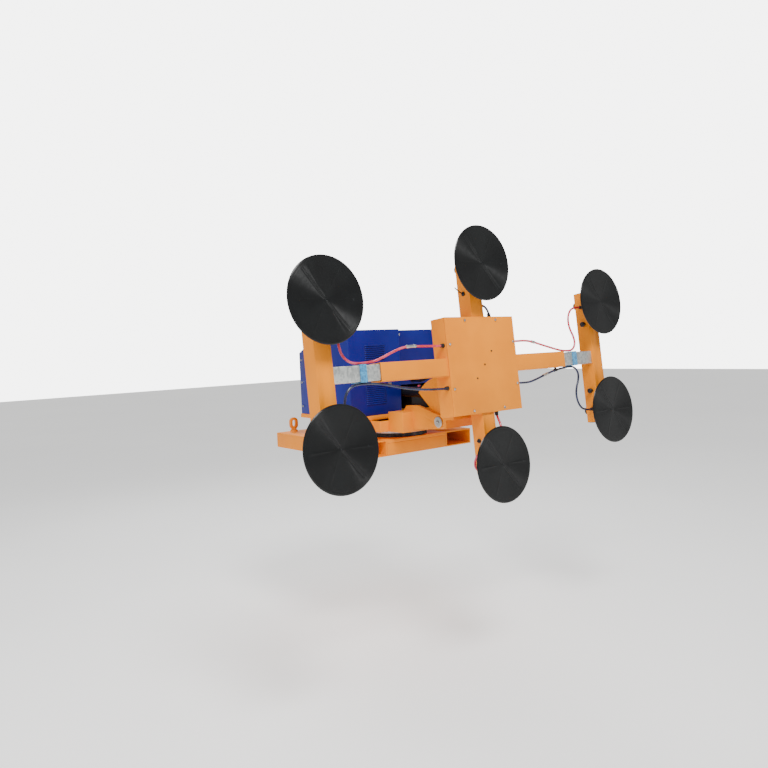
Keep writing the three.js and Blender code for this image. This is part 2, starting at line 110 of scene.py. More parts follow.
# Places on the head, in its own millimetres
BEAM = 1000  # from the middle to each end beam's middle line
SIDE_CUP, CENTRE_CUP = 330, 530
CUPS = {
    "left_top": (-BEAM, SIDE_CUP), "left_bottom": (-BEAM, -SIDE_CUP),
    "centre_top": (0, CENTRE_CUP), "centre_bottom": (0, -CENTRE_CUP),
    "right_top": (BEAM, SIDE_CUP), "right_bottom": (BEAM, -SIDE_CUP),
}
TUBE_LINE = 121  # how far behind the lips the square tubes' middle lines lie
TUBE_HALF, INNER_TUBE_HALF = 45, 38  # half the sides of the beams and of the inner arms
BEAM_FACE = BEAM - TUBE_HALF
BEAM_END, COLUMN_END = 400, 575  # from the middle to the tubes' ends
BOX_HALF = 255  # half the head box's side
PLATE_FRONT = 65  # how far behind the lips the cover plate's face lies

# Places on the carriage, in metres
PIVOT = (-1.236, 0.161)  # the tilt pin's line, as Y and Z
CYLINDER_FRONT = (0.030, -0.952, 0.306)  # where the rod leaves the tilt cylinder


def from_head(points):
    """Millimetres in the head's frame to metres in the part's: turned by the lean, then moved."""
    return (np.asarray(points, float) * MM) @ HEAD_AXES + HEAD


def linear(hex_colour):
    """An sRGB hex colour as linear red, green, blue and alpha."""
    values = [int(hex_colour[i:i + 2], 16) / 255 for i in (1, 3, 5)]
    return [v / 12.92 if v <= 0.04045 else ((v + 0.055) / 1.055) ** 2.4 for v in values] + [1.0]


# Materials

def add_node(tree, kind, settings=None, inputs=None):
    """Adds one node. Settings are its own properties; an input is a value or another's socket."""
    node = tree.nodes.new(kind)
    for name, value in (settings or {}).items():
        setattr(node, name, value)
    for name, value in (inputs or {}).items():
        if isinstance(value, bpy.types.NodeSocket):
            tree.links.new(value, node.inputs[name])
        else:
            node.inputs[name].default_value = value
    return node


def finish_material(name, build):
    """A material with a Principled shader that build() fills in."""
    material = bpy.data.materials.get(name)
    if material:
        return material
    material = bpy.data.materials.new(name)
    material.use_nodes = True
    tree = material.node_tree
    tree.nodes.clear()
    shader = add_node(tree, "ShaderNodeBsdfPrincipled")
    out = add_node(tree, "ShaderNodeOutputMaterial")
    tree.links.new(shader.outputs["BSDF"], out.inputs["Surface"])
    place = add_node(tree, "ShaderNodeTexCoord").outputs["Object"]
    build(tree, shader, place)
    return material


def noise(tree, place, size, detail=3.0):
    """Noise whose features are about size metres across."""
    node = add_node(tree, "ShaderNodeTexNoise", None,
                    {"Vector": place, "Scale": 1 / size, "Detail": detail})
    return node.outputs["Fac"]


def spread(tree, value, low, high):
    """A pattern's value, which lies mostly from 0.3 to 0.7, turned into one from low to high."""
    node = add_node(tree, "ShaderNodeMapRange", None, {
        "Value": value, "From Min": 0.3, "From Max": 0.7, "To Min": low, "To Max": high})
    return node.outputs["Result"]


def two_tone(tree, fac, first, second):
    """One linear colour shading into another."""
    node = add_node(tree, "ShaderNodeValToRGB", None, {"Fac": fac})
    for stop, place, colour in zip(node.color_ramp.elements, (0.35, 0.65), (first, second)):
        stop.position = place
        stop.color = colour
    return node.outputs["Color"]


def bumped(tree, shader, height, depth, strength):
    """Bump of depth metres from a height of 0 to 1."""
    node = add_node(tree, "ShaderNodeBump", None,
                    {"Height": height, "Distance": depth, "Strength": strength})
    tree.links.new(node.outputs["Normal"], shader.inputs["Normal"])


def sprayed_paint(name, dark, light, gloss, coat):
    """Paint sprayed on steel: a satin film with fine orange peel and a slight drift in shade."""
    def build(tree, shader, place):
        drift = noise(tree, place, 0.25)  # shade drift over about 250 mm, as a spray pass leaves
        tree.links.new(two_tone(tree, drift, dark, light), shader.inputs["Base Color"])
        tree.links.new(spread(tree, noise(tree, place, 0.06), gloss - 0.05, gloss + 0.06),
                       shader.inputs["Roughness"])
        shader.inputs["IOR"].default_value = 1.5
        shader.inputs["Specular IOR Level"].default_value = 0.25
        shader.inputs["Coat Weight"].default_value = coat
        shader.inputs["Coat Roughness"].default_value = 0.18
        # Orange peel is 1 to 3 mm across; 4 mm is drawn so that it shows at arm's length.
        bumped(tree, shader, noise(tree, place, 0.004, 1.0), 0.00012, 0.5)
    return finish_material(name, build)


def spangled_zinc(name="hot_dip_galvanised_steel"):
    """Hot-dip galvanised steel: grey zinc in crystals about 11 mm across, each its own shade."""
    def build(tree, shader, place):
        cells = add_node(tree, "ShaderNodeTexVoronoi", None, {"Vector": place, "Scale": 1 / 0.011})
        grey = add_node(tree, "ShaderNodeRGBToBW", None, {"Color": cells.outputs["Color"]})
        shade = two_tone(tree, grey.outputs["Val"], linear("#BDC1BF"), linear("#D2D5D2"))
        tree.links.new(shade, shader.inputs["Base Color"])
        tree.links.new(spread(tree, grey.outputs["Val"], 0.3, 0.46), shader.inputs["Roughness"])
        shader.inputs["Metallic"].default_value = 0.85
        bumped(tree, shader, noise(tree, place, 0.02), 0.0002, 0.4)
    return finish_material(name, build)


def plain_metal(name, dark, light, rough, grain):
    """Machined or plated steel: metal with a faint grain from the tool or the bath."""
    def build(tree, shader, place):
        shade = two_tone(tree, noise(tree, place, 0.03), linear(dark), linear(light))
        tree.links.new(shade, shader.inputs["Base Color"])
        tree.links.new(spread(tree, noise(tree, place, grain), rough - 0.06, rough + 0.08),
                       shader.inputs["Roughness"])
        shader.inputs["Metallic"].default_value = 1.0
        bumped(tree, shader, noise(tree, place, grain), 0.00008, 0.4)
    return finish_material(name, build)


def moulded_rubber(name="compression_moulded_nitrile"):
    """Nitrile rubber from a turned mould: near black, with the mould's fine rings on its face."""
    def build(tree, shader, place):
        shade = two_tone(tree, noise(tree, place, 0.09), linear("#060708"), linear("#0B0D0E"))
        tree.links.new(shade, shader.inputs["Base Color"])
        sheen = spread(tree, noise(tree, place, 0.02), 0.3, 0.38)
        tree.links.new(sheen, shader.inputs["Roughness"])
        shader.inputs["IOR"].default_value = 1.52
        shader.inputs["Specular IOR Level"].default_value = 0.35
        # The rings run round each cup, so their highlight fans out across the face.
        shader.inputs["Anisotropic"].default_value = 0.9
        shader.inputs["Anisotropic Rotation"].default_value = 0.25
        tangent = add_node(tree, "ShaderNodeTangent",
                           {"direction_type": "UV_MAP", "uv_map": "rings"})
        tree.links.new(tangent.outputs["Tangent"], shader.inputs["Tangent"])
        across = add_node(tree, "ShaderNodeUVMap", {"uv_map": "rings"})
        parts = add_node(tree, "ShaderNodeSeparateXYZ", None, {"Vector": across.outputs["UV"]})
        # A mould's rings lie under 1 mm apart; 2.5 mm is drawn so that they show. The V of the
        # map is the distance from the middle, in metres.
        turns = add_node(tree, "ShaderNodeMath", {"operation": "MULTIPLY"},
                         {0: parts.outputs["Y"], 1: 2 * math.pi / 0.0025})
        wave = add_node(tree, "ShaderNodeMath", {"operation": "SINE"}, {0: turns.outputs["Value"]})
        bumped(tree, shader, wave.outputs["Value"], 0.00006, 0.45)
    return finish_material(name, build)


def plain_plastic(name, dark, light, rough, clear=0.0):
    """Moulded or extruded plastic: smooth, with a little drift in its shade."""
    def build(tree, shader, place):
        shade = two_tone(tree, noise(tree, place, 0.05), linear(dark), linear(light))
        tree.links.new(shade, shader.inputs["Base Color"])
        tree.links.new(spread(tree, noise(tree, place, 0.012), rough - 0.04, rough + 0.05),
                       shader.inputs["Roughness"])
        shader.inputs["IOR"].default_value = 1.5
        shader.inputs["Transmission Weight"].default_value = clear
        bumped(tree, shader, noise(tree, place, 0.003, 1.0), 0.00005, 0.3)
    return finish_material(name, build)


def woven_strap(name="woven_polyester_webbing"):
    """Polyester webbing: blue yarns over and under each other, matt with a soft sheen."""
    def build(tree, shader, place):
        shade = two_tone(tree, noise(tree, place, 0.01), linear("#226A9C"), linear("#3E9CCB"))
        tree.links.new(shade, shader.inputs["Base Color"])
        shader.inputs["Roughness"].default_value = 0.75
        shader.inputs["Sheen Weight"].default_value = 0.3
        # Yarns lie 1.2 mm apart; 3 mm is drawn so that the weave shows.
        over = add_node(tree, "ShaderNodeTexChecker", None, {"Vector": place, "Scale": 1 / 0.003})
        bumped(tree, shader, over.outputs["Fac"], 0.0004, 0.6)
    return finish_material(name, build)


def make_materials(colours):
    """One material for each of the record's slots. A paint's last two values are its roughness
    and its clear coat's weight."""
    return {
        "orange_paint": sprayed_paint("orange_sprayed_steel", colours.steelwork_dark,
                                      colours.steelwork_light, 0.5, 0.0),
        "blue_paint": sprayed_paint("blue_powder_coated_sheet", colours.covers_dark,
                                    colours.covers_light, 0.36, 0.06),
        "black_paint": sprayed_paint("black_sprayed_steel", linear("#121213"),
                                     linear("#1C1C1E"), 0.42, 0.1),
        "grey_paint": sprayed_paint("grey_sprayed_steel", linear("#7C8083"),
                                    linear("#94989B"), 0.42, 0.1),
        "galvanised_steel": spangled_zinc(),
        "zinc_steel": plain_metal("zinc_plated_steel", "#A9ABA8", "#C9CBC8", 0.3, 0.004),
        "dark_steel": plain_metal("oiled_cast_steel", "#2C2E30", "#454749", 0.5, 0.006),
        "black_rubber": moulded_rubber(),
        "black_plastic": plain_plastic("black_moulded_abs", "#111113", "#1D1D20", 0.5),
        "blue_strap": woven_strap(),
        "clear_red_hose": plain_plastic("red_tinted_polyurethane_tube",
                                        "#D8283C", "#E8607A", 0.2, 0.25),
        "dark_hose": plain_plastic("navy_polyurethane_tube", "#161C33", "#27304F", 0.22),
    }


MATERIALS = {}  # filled by main, and read by every piece


# Shapes

def grid_faces(rows, columns, round_columns=False):
    """Quads between neighbouring points of a grid, whose columns may close on themselves."""
    c = np.arange(columns if round_columns else columns - 1)
    r, c = (a.ravel() for a in np.meshgrid(np.arange(rows - 1), c, indexing="ij"))
    r2, c2 = r + 1, (c + 1) % columns
    return np.stack([r * columns + c, r * columns + c2, r2 * columns + c2, r2 * columns + c], 1)


def frames_along(path):
    """Two directions across a path at each point, carried along it without twist."""
    tangent = np.gradient(path, axis=0)
    tangent /= np.linalg.norm(tangent, axis=1)[:, None]
    side = np.cross(tangent[0], [0.31, 0.2, 0.93])  # a direction that no path starts along
    sides = []
    for t in tangent:
        side = side - t * (side @ t)
        side = side / np.linalg.norm(side)
        sides.append(side)
    sides = np.array(sides)
    return sides, np.cross(tangent, sides)


def tube_surface(path, radius, sides=16):
    """A circle carried along a path: each point plus radius times cosine and sine across it."""
    path = np.asarray(path, float)
    across, up = frames_along(path)
    angle = np.linspace(0, 2 * np.pi, sides, endpoint=False)
    radius = np.broadcast_to(radius, len(path))[:, None, None]
    rim = across[:, None] * np.cos(angle)[:, None] + up[:, None] * np.sin(angle)[:, None]
    points = (path[:, None] + radius * rim).reshape(-1, 3)
    faces = grid_faces(len(path), sides, round_columns=True).tolist()
    last = (len(path) - 1) * sides
    faces += [list(range(sides))[::-1], [last + i for i in range(sides)]]
    return points, faces


def turned_surface(profile, middle, axis, sides=64, open_end=False):
    """A profile of distance out and along, in millimetres, turned about an axis through middle.
    A profile that doesn't meet itself gets a cap at each end, or at its first end only."""
    meets = list(profile[0]) == list(profile[-1])
    profile = np.asarray(profile, float) * MM
    axis = np.asarray(axis, float) / np.linalg.norm(axis)
    helper = [0, 0, 1] if abs(axis[2]) < 0.9 else [1, 0, 0]
    across = np.cross(helper, axis)
    across /= np.linalg.norm(across)
    up = np.cross(axis, across)
    angle = np.linspace(0, 2 * np.pi, sides, endpoint=False)
    rim = across * np.cos(angle)[:, None] + up * np.sin(angle)[:, None]
    points = (np.asarray(middle) + profile[:, None, 1:] * axis + profile[:, None, :1] * rim)
    faces = grid_faces(len(profile), sides, round_columns=True).tolist()
    if not meets:
        faces.append(list(range(sides))[::-1])
        if not open_end:
            faces.append([(len(profile) - 1) * sides + i for i in range(sides)])
    return points.reshape(-1, 3), faces


def smooth_path(points, steps_each=8):
    """A uniform Catmull-Rom curve: between two points it is the cubic whose slope at each one is
    half the step between that point's neighbours. Each end's missing neighbour is mirrored."""
    p = np.asarray(points, float)
    p = np.vstack([2 * p[0] - p[1], p, 2 * p[-1] - p[-2]])
    t = np.linspace(0, 1, steps_each, endpoint=False)[:, None]
    a, b, c, d = (p[i:len(p) - 3 + i, None] for i in range(4))
    curve = 0.5 * (2 * b + (c - a) * t + (2 * a - 5 * b + 4 * c - d) * t ** 2
                   + (3 * b - a - 3 * c + d) * t ** 3)
    return np.vstack([curve.reshape(-1, 3), p[-2]])


def put_mesh(name, parts, slot, smooth=30):
    """One object from a list of (points, faces), with faces outward and doubles merged. Edges
    that bend less than smooth degrees are shaded soft."""
    points, faces, start = [], [], 0
    for part_points, part_faces in parts:
        points.append(np.asarray(part_points))
        faces += [[i + start for i in face] for face in part_faces]
        start += len(part_points)
    mesh = bpy.data.meshes.new(name)
    mesh.from_pydata(np.vstack(points).tolist(), [], faces)
    settle(mesh, smooth)
    piece = bpy.data.objects.new(name, mesh)
    bpy.context.scene.collection.objects.link(piece)
    piece.data.materials.append(MATERIALS[slot])
    return piece


def settle(mesh, smooth):
    """Merges doubles, drops faces of no area, turns faces outward and smooths across soft edges."""
    merge = 1e-6
    work = bmesh.new()
    work.from_mesh(mesh)
    bmesh.ops.remove_doubles(work, verts=work.verts, dist=merge)
    bmesh.ops.dissolve_degenerate(work, edges=work.edges, dist=merge)
    bmesh.ops.recalc_face_normals(work, faces=work.faces)
    for face in work.faces:
        face.smooth = True
    for edge in work.edges:
        if len(edge.link_faces) == 2:
            edge.smooth = edge.calc_face_angle(0) < math.radians(smooth)
    work.to_mesh(mesh)
    work.free()


def eased(node, width):
    """A CAD node's shape with its sharp edges eased by a round of width mm, in its place."""
    source = frame["nodes"][node]
    mesh = source.data.copy()
    mesh.name = node + "_eased"
    work = bmesh.new()
    work.from_mesh(mesh)
    merge, flat, sharp = 2e-5, math.radians(1), math.radians(32)
    bmesh.ops.remove_doubles(work, verts=work.verts, dist=merge)
    bmesh.ops.dissolve_limit(work, angle_limit=flat, verts=work.verts, edges=work.edges)
    for face in work.faces:
        face.smooth = True
    work.to_mesh(mesh)
    work.free()
    piece = bpy.data.objects.new(node + "_eased", mesh)
    bpy.context.scene.collection.objects.link(piece)
    slot = SLOT_OF[node]
    mesh.materials.clear()
    mesh.materials.append(MATERIALS[slot])
    bevel = piece.modifiers.new("eased edges", "BEVEL")
    bevel.width, bevel.segments, bevel.limit_method = width * MM, 2, "ANGLE"
    bevel.angle_limit, bevel.harden_normals = sharp, True
    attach(piece, source["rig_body"])
    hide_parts(node)
    return piece


def box_surface(low, high):
    """A box from its two corners, in millimetres."""
    low, high = np.array(low, float), np.array(high, float)
    pick = np.array([[i >> k & 1 for k in range(3)] for i in range(8)])
    faces = [[0, 2, 3, 1], [4, 5, 7, 6], [0, 1, 5, 4], [2, 6, 7, 3], [0, 4, 6, 2], [1, 3, 7, 5]]
    return (low + pick * (high - low)) * MM, faces


def end_cap(middle, out, half):
    """A square cap pressed into a tube's end: a pillowed plate whose rise is the product of two
    curves that stay high across it and fall to nothing at its edge."""
    n = 13
    rise, foot, base, reach = 3.5, 0.4, 0.3, half - 1
    u, v = np.meshgrid(np.linspace(-1, 1, n), np.linspace(-1, 1, n), indexing="ij")
    bulge = rise * (1 - u ** 8) * (1 - v ** 8)
    shell = np.stack([u * reach, v * reach, out * (bulge + foot)], -1)
    back = np.stack([u * reach, v * reach, np.full_like(u, out * base)], -1)
    faces = grid_faces(n, n)
    index = np.arange(n * n).reshape(n, n)
    rim = np.concatenate([index[0, :-1], index[:-1, -1], index[-1, :0:-1], index[:0:-1, 0]])
    ahead = np.roll(rim, -1)
    edge = np.stack([rim, ahead, ahead + n * n, rim + n * n], 1)
    points = np.vstack([shell.reshape(-1, 3), back.reshape(-1, 3)]) + middle
    return from_head(points), np.vstack([faces, faces[:, ::-1] + n * n, edge]).tolist()


SLOT_OF = {row["node"]: row["material_slot"] for row in frame["record"]["subparts"]}
# How far each node's sharp edges are eased, in millimetres
EASED = {
    "fork_pocket_left": 3, "fork_pocket_right": 3, "front_cross_beam": 3, "rear_cross_beam": 3,
    "turntable_base": 1.5, "carriage_box": 3, "deck_plate": 2, "tilt_clevis": 2.5,
    "tilt_cylinder_bracket": 1, "tilt_yoke": 2, "head_box": 3, "cover_plate": 2,
    "left_outer_arm": 4, "right_outer_arm": 4, "centre_column": 4,
    "left_end_beam": 4, "right_end_beam": 4, "left_inner_arm": 3, "right_inner_arm": 3,
    "left_cover": 3.5, "right_cover": 3.5, "battery_pack": 4, "hydraulic_unit": 3,
}


def weld_bead(start, end, size=3.2):
    """A bead from one point to another whose radius ripples as a sine every 5 mm along it."""
    start, end = np.asarray(start, float), np.asarray(end, float)
    pitch, ripple, step = 5, 0.4, 1.6
    length = np.linalg.norm(end - start)
    t = np.linspace(0, 1, int(length / step))
    radius = (size + ripple * np.sin(2 * np.pi * t * length / pitch)) * MM
    return tube_surface(from_head(start + (end - start) * t[:, None]), radius, 8)


def weld_square(middle, along, half):
    """Beads on the four sides of a square tube that runs along one axis of the head's frame."""
    first, second = [k for k in range(3) if k != along]
    parts = []
    for a, b in ((1, 1), (1, -1), (-1, -1), (-1, 1)):
        start, end = np.array(middle, float), np.array(middle, float)
        start[[first, second]] += [a * half, b * half]
        end[[first, second]] += [b * half, -a * half]
        parts.append(weld_bead(start, end))
    return parts


# Stage

CAMERA_PLACE = (-2.739, -4.126, 0.600)
CAMERA_RIGHT, CAMERA_FORWARD = (0.7873, -0.6152, -0.0413), (0.613, 0.7881, -0.056)
SENSOR = 36.0  # width in millimetres
LAMP_AIM = (0, -1.2, 0.45)
LAMPS = {  # each lamp's place, side and power
    "key": ((-1.3, -4.4, 4.6), 1.6, 360),
    "fill": ((-4.6, -1.6, 1.6), 3.0, 90),
    "rim": ((1.0, 3.0, 3.6), 2.6, 150),
}
FLOOR_REACH = 30.0
FLOOR_DROP = 0.95  # far enough below for the head to turn with both arms out


def add_light(name, place, target, size, power):
    """A soft square lamp that faces its target."""
    lamp = bpy.data.lights.new(name, "AREA")
    lamp.size, lamp.energy = size, power
    holder = bpy.data.objects.new(name, lamp)
    bpy.context.scene.collection.objects.link(holder)
    holder.location = place
    holder.rotation_euler = (Vector(target) - Vector(place)).to_track_quat("-Z", "Y").to_euler()


class LIFTER_OT_stage(bpy.types.Operator):
    """Adds the camera, the floor and the studio light"""
    bl_idname = "lifter.stage"
    bl_label = "Stage"

    def execute(self, context):
        sizes = context.scene.lifter_sizes
        camera = bpy.data.cameras.new("camera")
        camera.lens, camera.sensor_width = sizes.lens, SENSOR
        holder = bpy.data.objects.new("camera", camera)
        context.scene.collection.objects.link(holder)
        forward = Vector(CAMERA_FORWARD).normalized()
        up = Vector(CAMERA_RIGHT).normalized().cross(forward).normalized()
        right = forward.cross(up)
        turn = Matrix((right, up, -forward)).transposed().to_4x4()
        holder.matrix_world = Matrix.Translation(CAMERA_PLACE) @ turn
        context.scene.camera = holder

        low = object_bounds()[0][2] - FLOOR_DROP
        corners = [[x * FLOOR_REACH, y * FLOOR_REACH, low]
                   for x, y in ((-1, -1), (1, -1), (1, 1), (-1, 1))]
        mesh = bpy.data.meshes.new("floor")
        mesh.from_pydata(corners, [], [[0, 1, 2, 3]])
        floor = bpy.data.objects.new("floor", mesh)
        context.scene.collection.objects.link(floor)

        def build(tree, shader, place):
            shade = two_tone(tree, noise(tree, place, 2.0), linear("#F1F1F0"), linear("#F6F6F5"))
            tree.links.new(shade, shader.inputs["Base Color"])
            shader.inputs["Roughness"].default_value = 0.9
            # A little light of its own, as a lit studio table gives.
            shader.inputs["Emission Color"].default_value = linear("#FFFFFF")
            shader.inputs["Emission Strength"].default_value = 0.45
        mesh.materials.append(finish_material("pale_matt_floor", build))
        floor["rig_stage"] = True

        world = bpy.data.worlds.new("studio")
        world.use_nodes = True
        tree = world.node_tree
        sky = tree.nodes["Background"]
        sky.inputs["Color"].default_value = linear("#FBFBFA")
        # The backdrop looks white, and lights the object less than it looks.
        seen = add_node(tree, "ShaderNodeLightPath").outputs["Is Camera Ray"]
        strength = add_node(tree, "ShaderNodeMapRange", None, {
            "Value": seen, "To Min": sizes.ambient, "To Max": sizes.backdrop})
        tree.links.new(strength.outputs["Result"], sky.inputs["Strength"])
        context.scene.world = world
        for name, (place, side, power) in LAMPS.items():
            add_light(name, place, LAMP_AIM, side, power * sizes.key)
        return {"FINISHED"}


# Hoses: each one's arm, slot and route in the head's millimetres, or the part's for the main one

HOSES = {
    "left_upper_hose": ("left_arm", "clear_red_hose", [
        [-256.4, 93, 112], [-300, 93, 112], [-380, 95, 114], [-470, 96, 116], [-530, 97, 110],
        [-590, 98, 92], [-650, 99, 70], [-705, 100, 54], [-765, 101, 49], [-800, 101, 49],
        [-835, 101, 54], [-864, 102, 71], [-884, 103, 99], [-892, 105, 138], [-893, 108, 185],
        [-893, 113, 228], [-893, 117, 258], [-897.5, 119, 280], [-909.5, 120, 298.5],
        [-928, 120, 310.5], [-950, 120, 315], [-953.8, 120, 315]]),
    "left_lower_hose": ("left_arm", "dark_hose", [
        [-256.4, 93, -107], [-300, 93, -107], [-380, 94, -104], [-450, 96, -98], [-540, 98, -84],
        [-640, 100, -62], [-705, 101, -52], [-765, 101, -49], [-800, 101, -49], [-835, 101, -54],
        [-864, 102, -71], [-884, 103, -99], [-892, 105, -138], [-893, 108, -185],
        [-893, 113, -228], [-893, 117, -258], [-897.5, 119, -280], [-909.5, 120, -298.5],
        [-928, 120, -310.5], [-950, 120, -315], [-953.8, 120, -315]]),
    "right_upper_hose": ("right_arm", "clear_red_hose", [
        [256.4, 93, 118], [310, 93, 119], [370, 94, 119], [430, 95, 112], [500, 96, 95],
        [580, 98, 76], [660, 100, 58], [715, 101, 50], [765, 101, 49], [790, 101, 53],
        [812, 102, 66], [826, 102, 88], [828, 103, 114], [818, 103, 142], [803, 104, 172],
        [793, 104, 205], [797, 107, 240], [815, 111, 273], [846, 116, 298], [885, 119, 310],
        [920, 120, 312], [953.8, 120, 312]]),
    "right_lower_hose": ("right_arm", "dark_hose", [
        [256.4, 93, -113], [310, 93, -116], [370, 94, -115], [430, 95, -104], [519, 97, -82],
        [616, 99, -61], [705, 100, -50], [765, 101, -49], [790, 101, -53], [812, 102, -66],
        [826, 102, -88], [828, 103, -114], [818, 103, -142], [803, 104, -172], [793, 104, -205],
        [797, 107, -240], [815, 111, -275], [846, 116, -302], [885, 119, -315], [920, 120, -318],
        [953.8, 120, -318]]),
    "top_hose": (None, "dark_hose", [
        [108, 100, 256.4], [108, 100, 261], [108, 100, 266], [107, 100, 275.7],
        [104.6, 100, 285.2], [100.5, 100, 294], [95, 100, 302], [88, 100, 309], [80, 100, 314.6],
        [71, 100, 318.7], [61.7, 100, 321.2], [52, 100, 322], [50.3, 100, 322], [48.6, 100, 322],
        [47, 100, 322]]),
    "bottom_hose": (None, "clear_red_hose", [
        [85, 100, -256.4], [85, 98, -275], [85, 92, -295], [85, 84, -315], [81, 75, -336],
        [70.5, 67, -354.5], [54, 62, -368.5], [27, 62, -384], [0, 62, -399.5], [-27, 62, -415],
        [-54, 62, -431], [-78, 66, -444.5], [-96, 71, -455], [-112.5, 79, -470], [-121, 88, -491],
        [-120, 97, -513.5], [-110, 104, -533.5], [-92, 109, -547], [-70, 112, -552],
        [-47, 112, -552]]),
}
MAIN_HOSE = [
    [110, -745.2, 372], [110, -770, 372], [104, -800, 372], [90, -832, 372.5], [72, -864, 373.5],
    [52, -896, 375.5], [32, -928, 379], [15, -960, 384], [3, -992, 390.5], [-4, -1024, 398.5],
    [-7, -1056, 407.5], [-7, -1088, 416.5], [-5, -1120, 425], [-3, -1152, 432.5],
    [-1, -1184, 438.5], [0, -1216, 442.6], [0, -1245, 445.6]]
MAIN_HOSE_RADIUS = 0.012
STRETCH_FROM, STRETCH_TO = 480, 755  # how far out a side hose's stretch would start and end; nothing here stretches one, and fittings nearer than the first ride the head


def lay_hose(name, points, radius, slot):
    """A hose as a tube on a smooth path, in place of the hose's node, which is hidden."""
    path = smooth_path(points)
    piece = put_mesh(name + "_tube", [tube_surface(path, radius)], slot)
    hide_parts(name)
    return piece


def stretch_with(piece):
    """Bakes a side hose's piece in place; no blend from the head to its arm is set up."""
    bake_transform(piece)


class LIFTER_OT_hoses(bpy.types.Operator):
    """Lays the vacuum hoses from the head box to the beams, and from the cover to the swivel"""
    bl_idname = "lifter.hoses"
    bl_label = "Hoses"

    def execute(self, context):
        radius = context.scene.lifter_sizes.hose / 2
        for name, (arm, slot, points) in HOSES.items():
            piece = lay_hose(name, from_head(points), radius, slot)
            if arm is None:
                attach(piece, "rotating_head")
            else:
                stretch_with(piece)
        self.unions()
        route = np.array(MAIN_HOSE) * MM
        piece = lay_hose("main_vacuum_hose", route, MAIN_HOSE_RADIUS, "black_plastic")
        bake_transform(piece)
        return {"FINISHED"}

    def unions(self):
        """Straight unions and a tee on the hoses: a stepped barrel turned about the hose's line.
        The barrel's second values are shares of its half length."""
        barrel = [[5, -1], [7.5, -1], [8.5, -0.9], [8.5, -0.6], [7.6, -0.56], [7.6, 0.56],
                  [8.5, 0.6], [8.5, 0.9], [7.5, 1], [5, 1]]
        spots = [("left_upper_hose", -470, 32, "zinc_steel"),
                 ("right_upper_hose", 440, 13, "zinc_steel"),
                 ("right_lower_hose", 519, 22, "zinc_steel"),
                 ("right_lower_hose", 616, 14, "black_plastic")]
        for name, x, half, slot in spots:
            arm, _, points = HOSES[name]
            path = smooth_path(from_head(points))
            near = np.abs(path[:, 0] - x * MM).argmin()
            line = path[near + 1] - path[near - 1]
            profile = np.array(barrel) * [1, half]
            parts = [turned_surface(profile.tolist(), path[near], line, 32)]
            if slot == "black_plastic":
                branch = [[0.2, 0], [6.5, 0], [6.5, 13], [7.5, 14], [7.5, 19], [0.2, 19]]
                parts.append(turned_surface(branch, path[near], HEAD_AXES[2], 24))
            piece = put_mesh(f"{name}_fitting_{abs(x)}", parts, slot)
            if abs(x) < STRETCH_FROM:
                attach(piece, "rotating_head")
            else:
                stretch_with(piece)


# Structure

class LIFTER_OT_structure(bpy.types.Operator):
    """Eases the larger nodes' edges, gives every node its finish, and adds welds and bolts"""
    bl_idname = "lifter.structure"
    bl_label = "Steelwork"

    def execute(self, context):
        for node, width in EASED.items():
            eased(node, width)
        for node, source in frame["nodes"].items():
            source.data.materials.clear()
            source.data.materials.append(MATERIALS[SLOT_OF[node]])
        self.welds()
        self.ring_bolts()
        return {"FINISHED"}

    def welds(self):
        """Fillet welds where square tubes meet the head box and the end beams."""
        rise = 0.3  # of the beads' middles above the tubes' faces
        seam = BOX_HALF + 0.8
        middles = [([side * seam, TUBE_LINE, 0], 0) for side in (-1, 1)]
        middles += [([0, TUBE_LINE, side * seam], 2) for side in (-1, 1)]
        box = [bead for middle, along in middles
               for bead in weld_square(middle, along, TUBE_HALF + rise)]
        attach(put_mesh("head_box_welds", box, "orange_paint", smooth=60), "rotating_head")
        seam = BEAM_FACE - 0.6
        for arm, side in (("left_arm", -1), ("right_arm", 1)):
            beads = weld_square([side * seam, TUBE_LINE, 0], 0, INNER_TUBE_HALF + rise)
            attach(put_mesh(arm + "_weld", beads, "orange_paint", smooth=60), arm)

    def ring_bolts(self):
        """Hexagon bolts through the slewing ring's lower half, evenly spaced on a circle."""
        count, circle = 16, 171
        middle = np.array([0, -715, 27])
        head = [[0.2, 0], [8, 0], [9.2, -1.2], [9.2, -7], [0.2, -7]]
        heads = []
        for k in range(count):
            angle = 2 * math.pi * (k + 0.5) / count
            away = circle * np.array([math.cos(angle), math.sin(angle), 0])
            heads.append(turned_surface(head, (middle + away) * MM, [0, 0, 1], 6))
        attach(put_mesh("slewing_ring_bolts", heads, "zinc_steel"), "fork_frame")


# Cups

CUP_RADIUS = 200
CUP_SIDES = 360
SPRING_ENDS = (48.5, 63.2)  # how far behind the lip a return spring starts and ends


def ramp(value, start, end):
    """0 up to start, 1 from end on, and even between them."""
    return np.clip((value - start) / (end - start), 0, 1)


